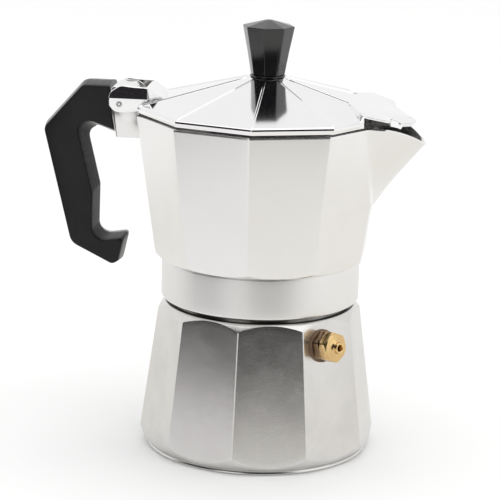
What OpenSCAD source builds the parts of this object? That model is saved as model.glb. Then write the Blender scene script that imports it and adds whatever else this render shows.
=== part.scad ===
// Ten-sided stovetop moka pot, three-cup size. Millimetres, +Z up.
// The origin is the centre of the flat underside of the boiler. The spout
// points along +X, the handle and the lid hinge are on the -X side.

/* [Boiler] */
// Corner radius of the ten-sided boiler near its foot
boiler_foot_r = 43.4; // [42.5:0.1:44.5]
// Corner radius of the boiler at the top of its flats
boiler_top_r = 37.3; // [36.9:0.1:38]
// Height at which the flats meet the shoulder chamfer
boiler_flat_top = 51.5; // [50:0.1:52.5]
// Radius of the round base that the pot stands on
base_r = 41; // [39.5:0.1:42]
// Turn of the boiler when it is screwed home, degrees
boiler_turn = -5; // [-10:1:0]
// Top of the threaded neck
neck_top = 68; // [67:0.1:68.3]
// Outside radius of the threaded neck
neck_r = 32.8; // [32.2:0.1:32.8]
// Inside radius of the neck
neck_bore_r = 30.4; // [30.2:0.1:30.8]

/* [Jug] */
// Corner radius of the jug at the rim
jug_rim_r = 46.7; // [46:0.1:47.4]
// Corner radius of the jug at its foot
jug_foot_r = 39.6; // [39:0.1:40.2]
// Height of the jug rim
jug_rim_z = 123.5; // [123:0.1:123.7]
// Wall thickness of the casting
jug_wall = 2.2; // [1.8:0.1:2.6]
// Outside radius of the threaded collar
collar_r = 36.1; // [35.6:0.1:36.6]
// Bottom edge of the collar
collar_z0 = 56; // [55.8:0.1:57]
// Spout tip, distance from the axis
spout_x = 59; // [57:0.1:61]

/* [Lid] */
// Offset of the lid towards the spout
lid_x = 0.8; // [0.4:0.1:1]
// Corner radius of the lid
lid_r = 47; // [46.8:0.1:47.4]
// Height of the lid edge above the base
lid_edge_z = 126.5; // [126:0.1:127]
// Sheet thickness of the lid
lid_t = 1.3; // [1.1:0.1:1.5]
// Hinge pin position behind the axis
pin_x = -51.3; // [-51.8:0.1:-51]
// Hinge pin height
pin_z = 126.3; // [126:0.1:126.6]
// Hinge pin radius
pin_r = 1.1; // [1:0.05:1.2]

/* [Knob and handle] */
// Corner radius of the knob at its widest
knob_top_r = 9.4; // [8.8:0.1:10]
// Corner radius of the knob at its foot
knob_foot_r = 6.2; // [5.8:0.1:6.6]
// Height of the knob's point
knob_tip_z = 157.5; // [156:0.5:159]
// Handle thickness, side to side
handle_w = 15; // [14:0.5:15]

/* [Safety valve] */
// Width across the hexagon's corners
valve_hex_d = 11.6; // [11:0.1:12]
// Height of the valve where it leaves the boiler
valve_z = 45.3; // [44.8:0.1:46]
// Offset of the valve along the face
valve_off = -3; // [-3.5:0.1:0]

/* [Hidden] */
$fn = 96;

// ten-sided geometry: corners lie at 18 + 36 k degrees
c18 = cos(18);
jug_slope = (jug_rim_r - jug_foot_r) / (jug_rim_z - 76);
function jug_R(z) = jug_foot_r + (z - 76) * jug_slope;
boiler_slope = (boiler_foot_r - boiler_top_r) / (boiler_flat_top - 6);
function boiler_R(z) = boiler_foot_r - (z - 6) * boiler_slope;
face_tilt = atan(boiler_slope * c18);
lid_slope = 0.2593;
function lid_z(r) = lid_edge_z + (lid_r - r) * lid_slope;
lid_flat_r = 6;
lid_top = lid_z(lid_flat_r);
roof_slope = lid_slope / c18;
flange_t = 1;
gasket_z0 = neck_top + flange_t + 0.1;
gasket_t = 3;
plate_t = 0.9;
// safety valve frame: local +Z leaves the boiler square to its face
valve_dir = -36 + boiler_turn;
valve_ap = boiler_R(valve_z) * c18;

// arc from angle a0 to a1 about [cx, cy]
function arc(cx, cy, r, a0, a1, n = 8) =
    [for (i = [0:n]) let (a = a0 + (a1 - a0) * i / n) [cx + r * cos(a), cy + r * sin(a)]];

// corner rounding: each point is [x, y, radius]
function unit(v) = v / norm(v);
function corner(p, q, s, r, n) =
    let (u = unit([p[0] - q[0], p[1] - q[1]]), v = unit([s[0] - q[0], s[1] - q[1]]),
         half = acos(max(-1, min(1, u * v))) / 2,
         d = r / tan(half), m = unit(u + v),
         c = [q[0], q[1]] + m * (r / sin(half)),
         t0 = [q[0], q[1]] + u * d - c, t1 = [q[0], q[1]] + v * d - c,
         a0 = atan2(t0[1], t0[0]), a1r = atan2(t1[1], t1[0]),
         da = (a1r - a0 > 180) ? a1r - a0 - 360 : (a1r - a0 < -180) ? a1r - a0 + 360 : a1r - a0)
    [for (i = [0:n]) c + r * [cos(a0 + da * i / n), sin(a0 + da * i / n)]];
function rounded(pts, n = 5) =
    [for (i = [0:len(pts) - 1])
        let (p = pts[(i + len(pts) - 1) % len(pts)], q = pts[i], s = pts[(i + 1) % len(pts)])
        each (q[2] <= 0 ? [[q[0], q[1]]] : corner(p, q, s, q[2], n))];
// outline moved inwards by d, for outlines that run anticlockwise
function inset(pts, d) =
    [for (i = [0:len(pts) - 1])
        let (p = pts[(i + len(pts) - 1) % len(pts)], q = pts[i], s = pts[(i + 1) % len(pts)],
             e0 = unit([q[0] - p[0], q[1] - p[1]]), e1 = unit([s[0] - q[0], s[1] - q[1]]),
             n0 = [-e0[1], e0[0]], n1 = [-e1[1], e1[0]], m = unit(n0 + n1),
             k = d / max(0.35, m * n0))
        [q[0] + m[0] * k, q[1] + m[1] * k, q[2] <= 0 ? 0 : max(0.15, q[2] - d)]];

module deca(r0, r1, z0, z1) {
    translate([0, 0, z0]) rotate(18) cylinder(h = z1 - z0, r1 = r0, r2 = r1, $fn = 10);
}

module valve_frame() {
    rotate(valve_dir) translate([valve_ap, valve_off, valve_z])
        rotate([0, 90 - face_tilt, 0]) children();
}

// ---------------------------------------------------------------- boiler
module boiler() {
    color("silver")
    difference() {
        union() {
            intersection() {
                rotate(boiler_turn)
                    deca(boiler_R(-1), boiler_R(60), -1, 60);
                rotate_extrude()
                    polygon(concat([[0, 0], [base_r - 1, 0], [base_r - 0.2, 0.35]],
                        arc(base_r - 8.4, 9.5, 11.2, -46, 0, 6),
                        [[50, 9.5], [50, 40],
                         [boiler_top_r, boiler_flat_top], [34.8, 54.08], [34.4, 54],
                         [34.4, 53.55], [33.05, 53.55], [33.05, 55.2], [0, 55.2]]));
            }
            translate([0, 0, 53]) cylinder(h = neck_top - 53, r = neck_r);
        }
        // water chamber, straight neck and rounded floor
        rotate_extrude()
            polygon(concat([[0, 3]], arc(32.5, 8, 5, -90, -8, 5),
                [[32.2, 52], [neck_bore_r, 54.5], [neck_bore_r, 80], [0, 80]]));
        // tapped hole for the safety valve
        valve_frame() translate([0, 0, -9]) cylinder(h = 12, r = 3.95);
        // flat seat for the inner lip of the valve
        valve_frame() translate([0, 0, -0.02]) cylinder(h = 6, r = 6.1);
    }
}

// ---------------------------------------------------------- safety valve
module hex_bar(z0, h, cham_top, cham_bot) {
    // hexagon with turned chamfers on its corners
    intersection() {
        translate([0, 0, z0]) rotate(8) cylinder(h = h, r = valve_hex_d / 2, $fn = 6);
        rotate_extrude()
            polygon([[0, z0], [valve_hex_d / 2 - cham_bot, z0], [valve_hex_d / 2 + 0.05, z0 + cham_bot * 0.7],
                     [valve_hex_d / 2 + 0.05, z0 + h - cham_top * 0.7],
                     [valve_hex_d / 2 - cham_top, z0 + h], [0, z0 + h]]);
    }
}

module valve_washer() {
    color("peru") valve_frame() difference() {
        cylinder(h = 0.6, r = 5.9);
        translate([0, 0, -1]) cylinder(h = 3, r = 4);
    }
}

module valve_body() {
    color("goldenrod") valve_frame() difference() {
        union() {
            hex_bar(0.6, 3.3, 0.7, 0.4);
            translate([0, 0, -5]) cylinder(h = 6, r = 3.9);
            translate([0, 0, 3]) cylinder(h = 3.2, r = 3.6);
        }
        translate([0, 0, -4]) cylinder(h = 20, r = 2.2);
        translate([0, 0, -6]) cylinder(h = 5, r = 1.2);
    }
}

module valve_cap() {
    color("goldenrod") valve_frame() difference() {
        union() {
            hex_bar(3.95, 3.35, 0.9, 0.6);
            rotate_extrude()
                polygon([[0, 7.2], [4.75, 7.2], [4.55, 7.5], [2.7, 7.75], [1.95, 8.5],
                         [1.95, 9.2], [1.7, 9.5], [0, 9.5]]);
        }
        translate([0, 0, 3]) cylinder(h = 3.3, r = 3.65);
        translate([0, 0, 3]) cylinder(h = 3.9, r = 2.2);
        translate([0, 0, 3]) cylinder(h = 9, r = 1.15);
    }
}

module valve_plunger() {
    color("gold") valve_frame() {
        rotate_extrude()
            polygon([[0, -3.9], [1.3, -3.9], [1.9, -3.4], [1.9, -2.7], [0.85, -2.5],
                     [0.85, 7.6], [0.6, 7.9], [0, 7.9]]);
    }
}

// coil spring wound round the plunger stem, ground flat ends left off
spring_r = 1.5;
spring_wire = 0.26;
spring_z0 = -0.6;
spring_z1 = 6.4;
spring_turns = 6;
module valve_spring() {
    steps = 16 * spring_turns;
    sides = 6;
    ring = function (i) let (a = 360 * spring_turns * i / steps,
                             z = spring_z0 + (spring_z1 - spring_z0) * i / steps)
        [for (j = [0:sides - 1]) let (b = 360 * j / sides)
            [(spring_r + spring_wire * cos(b)) * cos(a),
             (spring_r + spring_wire * cos(b)) * sin(a), z + spring_wire * sin(b)]];
    pts = [for (i = [0:steps]) each ring(i)];
    faces = concat(
        [[for (j = [0:sides - 1]) j]],
        [for (i = [0:steps - 1]) for (j = [0:sides - 1]) let (k = (j + 1) % sides)
            each [[i * sides + j, (i + 1) * sides + j, (i + 1) * sides + k],
                  [i * sides + j, (i + 1) * sides + k, i * sides + k]]],
        [[for (j = [sides - 1:-1:0]) steps * sides + j]]);
    color("lightgray") valve_frame() polyhedron(points = pts, faces = faces);
}

// ---------------------------------------------------------------- funnel
module funnel_basket() {
    color("gainsboro") rotate_extrude()
        polygon([[4.65, 33.5], [5.4, 33.5], [7.5, 38], [22.6, 44.6], [28.2, 46], [29.2, 47.5],
                 [29.5, neck_top + 0.05], [32, neck_top + 0.05], [32, neck_top + 1.05],
                 [28.6, neck_top + 1.05], [28.3, 48], [27.6, 47], [22.2, 45.6],
                 [21.8, 45.2], [6.8, 38.8], [4.65, 34.2]]);
}

module funnel_stem() {
    color("gainsboro") difference() {
        rotate_extrude()
            polygon([[3.7, 7.5], [4.6, 7.5], [4.6, 37.4], [5.4, 37.4], [6, 38.2], [3.7, 38.2]]);
        // slanted inlet that keeps the tip from sealing on the floor
        translate([0, 0, 7.4]) rotate([0, -12, 0]) translate([-10, -10, -5]) cube([20, 20, 5]);
    }
}

module screen(r, z, t, rings, pitch, hole) {
    difference() {
        translate([0, 0, z]) cylinder(h = t, r = r);
        translate([0, 0, z - 1]) cylinder(h = t + 2, r = hole, $fn = 24);
        for (k = [1:rings]) for (i = [0:6 * k - 1])
            rotate(i * 60 / k + k * 7) translate([k * pitch, 0, z - 1])
                cylinder(h = t + 2, r = hole, $fn = 24);
    }
}

module funnel_screen() {
    color("gainsboro") screen(22, 45.7, 0.8, 4, 4.6, 0.65);
}

// -------------------------------------------------- gasket and top screen
module gasket() {
    color("whitesmoke") rotate_extrude()
        polygon([[26.2, gasket_z0], [32.2, gasket_z0], [32.6, gasket_z0 + 0.4],
                 [32.6, gasket_z0 + gasket_t - 0.4], [32.2, gasket_z0 + gasket_t],
                 [26.2, gasket_z0 + gasket_t], [25.8, gasket_z0 + gasket_t - 0.4],
                 [25.8, gasket_z0 + 0.4]]);
}

module filter_plate() {
    color("lightgray") screen(28.6, gasket_z0 + gasket_t + 0.05, plate_t, 5, 4.7, 0.7);
}

// ------------------------------------------------------------------- jug
// spout wedge: near edge line J, far edge line J mirrored, keel K
function J(z, o) = [38.2 - 0.073 * (z - 123.4) - o, -22.9 - 0.34 * (z - 123.4) + 1.5 * o, z];
function K(z, o) = [spout_x + 0.797 * (z - 115.2) - 2.5 * o, 0, z];
module wedge(o, zb, zt) {
    hull() for (z = [zb, zt], s = [1, -1]) {
        translate([J(z, o)[0], s * J(z, o)[1], z]) cube(0.01, center = true);
        translate(K(z, o)) cube(0.01, center = true);
    }
}
rim_arc_r = 30.2;
rim_arc_z = jug_rim_z - rim_arc_r;

module jug() {
    color("silver")
    difference() {
        union() {
            intersection() {
                deca(jug_R(68), jug_R(jug_rim_z), 68, jug_rim_z);
                rotate_extrude()
                    polygon(concat([[0, 69]], [[33, 69], [35.5, 70.9]], arc(35.5, 75, 4.1, -84, 0, 6),
                        [[44, 76], [60, 90], [60, 140], [0, 140]]));
            }
            // threaded collar
            rotate_extrude()
                polygon([[0, collar_z0], [collar_r - 1, collar_z0], [collar_r - 0.3, collar_z0 + 0.3],
                         [collar_r, collar_z0 + 1], [collar_r, 71.4], [35.4, 72], [0, 72]]);
            // spout, its lip falling away in an arc
            intersection() {
                wedge(0, 94, 127);
                translate([38, 30, rim_arc_z]) rotate([90, 0, 0]) cylinder(h = 60, r = rim_arc_r);
            }
            // lug that carries the hinge pin and the handle
            translate([0, 7.5, 0]) rotate([90, 0, 0]) linear_extrude(height = 15)
                polygon(concat([[-42, 118], [-43, 113.6], [-52.8, 113.6]],
                    [[-54.4, 122.6], [-54.8, 131.2], [-54, 132.1], [-47.6, 132.1]],
                    arc(pin_x, pin_z, 6.8, 57, -28, 6), [[-43.6, 122.5], [-42, 122]]));
            // tang inside the handle
            translate([-67.5, -3.4, 119.8]) cube([13.5, 6.8, 8.2]);
        }
        // inside of the jug, with a rounded floor
        intersection() {
            deca(jug_R(78) - jug_wall / c18, jug_R(130) - jug_wall / c18, 78, 130);
            rotate_extrude()
                polygon(concat([[0, 79.5], [8, 79.5]], arc(31, 84.5, 5, -90, -5, 5), [[42, 100], [52, 140], [0, 140]]));
        }
        // pouring channel
        wedge(1, 97.5, 130);
        // socket for the boiler thread, gasket and plate
        translate([0, 0, collar_z0 - 1]) cylinder(h = gasket_z0 + gasket_t - collar_z0 + 1.05, r = 33.1);
        translate([0, 0, 60]) cylinder(h = gasket_z0 + gasket_t + plate_t + 0.15 - 60, r = 28.8);
        // domed chamber that gathers the brew under the column
        rotate_extrude()
            polygon([[0, 72], [26, 72], [26, 73.2], [7, 77], [6.05, 77.2], [6.05, 90], [0, 90]]);
        // hinge pin hole through the lug
        translate([pin_x, 20, pin_z]) rotate([90, 0, 0]) cylinder(h = 40, r = pin_r + 0.03);
        // pilot hole for the handle screw
        translate([screw_x, 0, 110]) cylinder(h = 16, r = 1.55);
    }
}

module coffee_column() {
    color("silver") difference() {
        rotate_extrude()
            polygon([[0, 77.4], [6, 77.4], [6, 79.6], [8.2, 79.6], [8.2, 81], [7, 84], [5.2, 104],
                     [5.2, 110], [4.4, 112], [2, 113], [0, 113.2]]);
        rotate_extrude() polygon([[0, 70], [4.4, 77], [3.4, 104], [3.4, 109.6], [0, 110.6]]);
        // two outlets, one each side, below the closed top
        for (a = [90, 270]) rotate(a) translate([0, -1.7, 103.6]) cube([12, 3.4, 5]);
    }
}

module hinge_pin() {
    color("dimgray") translate([pin_x, 10.5, pin_z]) rotate([90, 0, 0]) cylinder(h = 21, r = pin_r);
}

// ---------------------------------------------------------------- handle
screw_x = -58.6;
handle_line = [
    [-55.7, 133.1, 0], [-65.6, 133.1, 3], [-80.3, 116.3, 3.2], [-69.9, 73.2, 5],
    [-54, 65.4, 2], [-51.1, 67.2, 1.4], [-48.85, 77.4, 1],
    [-59.9, 75.6, 6], [-59.6, 95, 3], [-65, 117.8, 4.5], [-52.9, 113.7, 0],
    [-54.5, 122.6, 0], [-54.9, 131.2, 0], [-55.3, 132.4, 0]];
module handle() {
    pts = [for (i = [0:len(handle_line) - 1]) handle_line[i]];
    color("#2b2b2d") difference() {
        translate([0, handle_w / 2, 0]) rotate([90, 0, 0]) {
            translate([0, 0, 1.4]) linear_extrude(height = handle_w - 2.8) polygon(rounded(pts));
            linear_extrude(height = handle_w) polygon(rounded(inset(pts, 0.9)));
        }
        // socket for the tang
        translate([-67.8, -3.5, 119.7]) cube([20, 7, 8.4]);
        // screw hole and its counterbore in the underside of the arm
        translate([screw_x, 0, 105]) cylinder(h = 20, r = 1.7);
        translate([screw_x, 0, 105]) cylinder(h = 13.8, r = 2.9);
    }
}

module handle_screw() {
    color("silver") translate([screw_x, 0, 0]) difference() {
        union() {
            translate([0, 0, 117.2]) cylinder(h = 1.6, r = 2.7);
            translate([0, 0, 118]) cylinder(h = 7.5, r = 1.5);
        }
        for (a = [0, 90]) rotate(a) translate([-1.7, -0.35, 117]) cube([3.4, 0.7, 1.0]);
    }
}

// ------------------------------------------------------------------- lid
// plane of the front facet, carried on over the spout
module under_roof(d) {
    translate([lid_x, -40, lid_edge_z + lid_r * lid_slope - d]) rotate([0, atan(roof_slope), 0])
        translate([0, 0, -40]) cube([90, 80, 40]);
}
roof_edge = [[20, 0], [20, -6], [30.6, -9.7], [37.4, -22.3], [50.2, -10.6], [53.2, -6.6], [54.5, -3], [54.8, 0]];
module roof_outline() {
    polygon(concat(roof_edge, [for (i = [len(roof_edge) - 2:-1:1]) [roof_edge[i][0], -roof_edge[i][1]]]));
}
module roof_hollow() {
    polygon([[18, -12], [30.4, -12], [30.4, -8.6], [37, -20.2], [48.6, -9.6], [49.6, -8.2], [49.6, 8.2],
             [48.6, 9.6], [37, 20.2], [30.4, 8.6], [30.4, 12], [18, 12]]);
}

module lid() {
    color("gainsboro")
    difference() {
        union() {
            translate([lid_x, 0, 0]) {
                deca(lid_r, lid_flat_r, lid_edge_z, lid_top);
                deca(lid_r, lid_r, lid_edge_z - 2.4, lid_edge_z + 0.01);
            }
            // raised cover over the spout
            intersection() {
                translate([0, 0, 120]) linear_extrude(height = 20) roof_outline();
                under_roof(0);
                union() {
                    translate([0, -30, 120]) cube([50.4, 60, 20]);
                    difference() { translate([0, -30, 110]) cube([60, 60, 30]); under_roof(1.4); }
                }
            }
            // hinge fork
            for (s = [-1, 1]) translate([0, s * 9.05 + 1.15, 0]) rotate([90, 0, 0])
                linear_extrude(height = 2.3)
                    polygon(concat([[-36, 128.9], [-41.5, 132.4]],
                        arc(-50.4, 128, 5.2, 105, 190, 6), arc(pin_x + 0.3, pin_z, 3.1, 215, 285, 5),
                        [[-43.2, 124.1], [-40, 124.1], [-40, 128]]));
            // bridge that closes the fork towards the lid
            translate([0, 9, 0]) rotate([90, 0, 0]) linear_extrude(height = 18)
                polygon([[-41.3, 127], [-41.3, 132.2], [-40.8, 132.2], [-35.6, 128.9], [-36, 127]]);
        }
        // hollow underside
        translate([lid_x, 0, 0]) {
            deca(lid_r - 1.4, lid_flat_r - 1.4, lid_edge_z - lid_t + 0.33, lid_top - lid_t);
            deca(lid_r - 1.4, lid_r - 1.4, lid_edge_z - 5, lid_edge_z - lid_t + 0.34);
        }
        intersection() {
            translate([0, 0, 115]) linear_extrude(height = 25) roof_hollow();
            under_roof(1.4);
        }
        // the skirt of the cover clears the lip of the spout
        translate([38, 30, rim_arc_z]) rotate([90, 0, 0]) cylinder(h = 60, r = rim_arc_r + 0.6);
        // room for the jug lug between the fork arms
        translate([-60, -7.9, 110]) cube([15.9, 15.8, 30]);
        // hole for the knob screw and the hinge pin
        translate([lid_x, 0, 120]) cylinder(h = 30, r = 1.7);
        translate([pin_x, 20, pin_z]) rotate([90, 0, 0]) cylinder(h = 40, r = pin_r + 0.05);
    }
}

module lid_knob() {
    z0 = lid_top + 0.7;
    color("#1f1f21") translate([lid_x, 0, 0]) difference() {
        rotate(-3.6) union() {
            translate([0, 0, z0]) cylinder(h = 155.1 - z0, r1 = knob_foot_r, r2 = knob_top_r, $fn = 8);
            translate([0, 0, 155.08]) cylinder(h = knob_tip_z - 155.08, r1 = knob_top_r - 0.02, r2 = 0.5, $fn = 8);
        }
        translate([0, 0, z0 - 1]) cylinder(h = 11, r = 1.6);
    }
}

module knob_washer() {
    color("#1a1a1c") translate([lid_x, 0, lid_top + 0.01]) difference() {
        cylinder(h = 0.68, r = 6.4);
        translate([0, 0, -1]) cylinder(h = 3, r = 1.7);
    }
}

module knob_screw() {
    color("silver") translate([lid_x, 0, 0]) difference() {
        union() {
            translate([0, 0, lid_top - lid_t - 1.9]) cylinder(h = 1.9, r = 3.3);
            translate([0, 0, lid_top - lid_t - 0.5]) cylinder(h = 10.5, r = 1.5);
        }
        for (a = [0, 90]) rotate(a) translate([-2, -0.4, lid_top - lid_t - 2.2]) cube([4, 0.8, 1.2]);
    }
}

boiler();
valve_washer();
valve_body();
valve_cap();
valve_plunger();
valve_spring();
funnel_basket();
funnel_stem();
funnel_screen();
gasket();
filter_plate();
jug();
coffee_column();
hinge_pin();
handle();
handle_screw();
lid();
lid_knob();
knob_washer();
knob_screw();
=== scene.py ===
import math
import bpy
import bmesh
import numpy as np
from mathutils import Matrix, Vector


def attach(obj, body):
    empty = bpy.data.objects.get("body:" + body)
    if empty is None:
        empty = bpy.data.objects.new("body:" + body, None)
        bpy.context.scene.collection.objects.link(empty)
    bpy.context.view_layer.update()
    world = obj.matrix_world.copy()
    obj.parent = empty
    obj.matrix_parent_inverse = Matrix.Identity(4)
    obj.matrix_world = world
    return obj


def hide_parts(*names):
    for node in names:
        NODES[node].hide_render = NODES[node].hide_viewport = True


MM = 0.001
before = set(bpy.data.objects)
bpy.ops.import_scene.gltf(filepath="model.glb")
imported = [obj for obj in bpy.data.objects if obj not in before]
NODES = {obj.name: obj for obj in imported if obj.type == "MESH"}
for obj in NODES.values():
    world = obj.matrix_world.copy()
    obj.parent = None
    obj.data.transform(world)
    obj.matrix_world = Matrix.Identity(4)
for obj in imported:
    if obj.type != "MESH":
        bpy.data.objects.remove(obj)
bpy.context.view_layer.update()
scene = bpy.context.scene


def rad(a):
    return a * math.pi / 180.0


def lerp(a, b, t):
    return a + (b - a) * t


def sstep(a, b, x):
    t = min(1.0, max(0.0, (x - a) / (b - a)))
    return t * t * (3 - 2 * t)


# ------------------------------------------------------------------ materials
class Nodes:
    def __init__(self, name):
        self.m = bpy.data.materials.new(name)
        self.m.use_nodes = True
        self.t = self.m.node_tree
        self.t.nodes.clear()
        self.out = self.t.nodes.new("ShaderNodeOutputMaterial")
        self.b = self.t.nodes.new("ShaderNodeBsdfPrincipled")
        self.t.links.new(self.b.outputs[0], self.out.inputs[0])
        self.tc = self.t.nodes.new("ShaderNodeTexCoord")
        self.obj = self.tc.outputs["Object"]

    def link(self, a, b):
        self.t.links.new(a, b)

    def new(self, kind, **kw):
        n = self.t.nodes.new(kind)
        for k, v in kw.items():
            setattr(n, k, v)
        return n

    def scaled(self, sx, sy, sz, src=None):
        n = self.new("ShaderNodeMapping")
        n.inputs["Scale"].default_value = (sx, sy, sz)
        self.link(src or self.obj, n.inputs["Vector"])
        return n.outputs[0]

    def noise(self, scale, detail=3.0, rough=0.55, vec=None, dist=0.0):
        n = self.new("ShaderNodeTexNoise")
        n.inputs["Scale"].default_value = scale
        n.inputs["Detail"].default_value = detail
        n.inputs["Roughness"].default_value = rough
        n.inputs["Distortion"].default_value = dist
        self.link(vec or self.obj, n.inputs["Vector"])
        return n.outputs["Fac"]

    def maprange(self, v, a, b, c, d, smooth=False):
        n = self.new("ShaderNodeMapRange")
        n.interpolation_type = "SMOOTHSTEP" if smooth else "LINEAR"
        for i, x in zip(("From Min", "From Max", "To Min", "To Max"), (a, b, c, d)):
            n.inputs[i].default_value = x
        self.link(v, n.inputs["Value"])
        return n.outputs["Result"]

    def math(self, op, a, b=None):
        n = self.new("ShaderNodeMath", operation=op)
        for i, x in enumerate((a, b)):
            if x is None:
                continue
            if isinstance(x, (int, float)):
                n.inputs[i].default_value = x
            else:
                self.link(x, n.inputs[i])
        return n.outputs[0]

    def mix(self, fac, a, b):
        n = self.new("ShaderNodeMix", data_type="RGBA")
        for sock, x in ((n.inputs[0], fac), (n.inputs[6], a), (n.inputs[7], b)):
            if isinstance(x, (int, float)):
                sock.default_value = x
            elif isinstance(x, tuple):
                sock.default_value = (*x, 1.0)
            else:
                self.link(x, sock)
        return n.outputs[2]

    def bump(self, h, dist, strength=1.0, normal=None):
        n = self.new("ShaderNodeBump")
        n.inputs["Strength"].default_value = strength
        n.inputs["Distance"].default_value = dist
        self.link(h, n.inputs["Height"])
        if normal is not None:
            self.link(normal, n.inputs["Normal"])
        return n.outputs[0]

    def edges(self, lo=0.52, hi=0.6):
        g = self.new("ShaderNodeNewGeometry")
        return self.maprange(g.outputs["Pointiness"], lo, hi, 0.0, 1.0, True)

    def z(self):
        n = self.new("ShaderNodeSeparateXYZ")
        self.link(self.obj, n.inputs[0])
        return n.outputs["Z"]


def metal(name, c1, c2, rough, rvar=0.08, grain=2200.0, bump=0.000012, edge=(1, 1, 1), edge_highlight_fac=0.35,
          turned=None, blotch=28.0, metallic=1.0, recess_shade=None, crevice_shade=None, turned_rough=0.1):
    k = Nodes(name)
    k.b.inputs["Metallic"].default_value = metallic
    low = k.noise(blotch, 4.0, 0.6)
    fine = k.noise(grain, 3.0, 0.6)
    tone = k.maprange(low, 0.3, 0.7, 0.0, 1.0, True)
    col = k.mix(tone, c1, c2)
    # convex edges are mixed towards the lighter edge colour: partly wear, partly a painted highlight along the edges
    edge_wear_and_highlight = k.math("MULTIPLY", k.edges(), k.math("MULTIPLY", k.maprange(k.noise(160.0, 4.0), 0.3, 0.65, 0.2, 1.0), edge_highlight_fac))
    col = k.mix(edge_wear_and_highlight, col, edge)
    # painted shade: inside a height band and radius of the neck recess the colour is mixed towards a dark colour,
    # standing in for the shadow there
    if recess_shade:
        z0, z1, r, dark = recess_shade
        xy = k.new("ShaderNodeVectorMath", operation="LENGTH")
        k.link(k.scaled(1, 1, 0), xy.inputs[0])
        z = k.z()
        m = k.math("MULTIPLY", k.maprange(xy.outputs["Value"], r - 0.0002, r, 1.0, 0.0),
                   k.math("MULTIPLY", k.maprange(z, z0, z0 + 0.0002, 0.0, 1.0), k.maprange(z, z1, z1 + 0.0004, 1.0, 0.0)))
        m = k.math("MULTIPLY", m, k.maprange(k.noise(120.0, 4.0), 0.25, 0.75, 0.75, 1.0))
        col = k.mix(m, col, dark)
    # painted shade: concave creases and grooves (low pointiness) are mixed towards a dark colour
    if crevice_shade:
        g = k.new("ShaderNodeNewGeometry")
        crevice_shade_mask = k.math("MULTIPLY", k.maprange(g.outputs["Pointiness"], 0.40, 0.485, 1.0, 0.0, True), 0.85)
        col = k.mix(crevice_shade_mask, col, crevice_shade)
    k.link(col, k.b.inputs["Base Color"])
    rr = k.math("ADD", k.maprange(fine, 0.25, 0.75, rough - rvar * 0.5, rough + rvar * 0.5),
                k.maprange(low, 0.3, 0.7, -rvar * 0.3, rvar * 0.3))
    height = fine
    if turned:
        z0, z1, sc, amount = turned
        lines = k.noise(sc, 3.0, 0.7, k.scaled(0.02, 0.02, 1.0))
        z = k.z()
        inside = k.math("MULTIPLY", k.maprange(z, z0 - 0.0002, z0, 0.0, 1.0), k.maprange(z, z1, z1 + 0.0002, 1.0, 0.0))
        height = k.math("ADD", fine, k.math("MULTIPLY", lines, k.math("MULTIPLY", inside, amount)))
        rr = k.math("ADD", rr, k.math("MULTIPLY", inside, turned_rough))
    k.link(rr, k.b.inputs["Roughness"])
    k.link(k.bump(height, bump), k.b.inputs["Normal"])
    return k.m


def plastic(name, c1, c2, rough, rvar=0.1, grain=3000.0, bump=0.00001, spec=0.5, edge=(0.08, 0.08, 0.085)):
    k = Nodes(name)
    k.b.inputs["Specular IOR Level"].default_value = spec
    low = k.noise(45.0, 4.0, 0.6)
    fine = k.noise(grain, 2.0, 0.5)
    col = k.mix(k.maprange(low, 0.35, 0.65, 0.0, 1.0, True), c1, c2)
    # convex edges are mixed towards the lighter edge colour: partly wear, partly a painted highlight along the edges
    edge_wear_and_highlight = k.math("MULTIPLY", k.edges(0.53, 0.62), k.maprange(k.noise(240.0, 4.0), 0.35, 0.7, 0.0, 0.5))
    col = k.mix(edge_wear_and_highlight, col, edge)
    k.link(col, k.b.inputs["Base Color"])
    scuff = k.noise(900.0, 4.0, 0.7, k.scaled(1.0, 0.12, 0.35))
    k.link(k.math("ADD", k.maprange(scuff, 0.3, 0.7, rough - rvar * 0.5, rough + rvar * 0.5),
                  k.maprange(low, 0.3, 0.7, -0.03, 0.03)), k.b.inputs["Roughness"])
    k.link(k.bump(fine, bump), k.b.inputs["Normal"])
    return k.m


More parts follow.
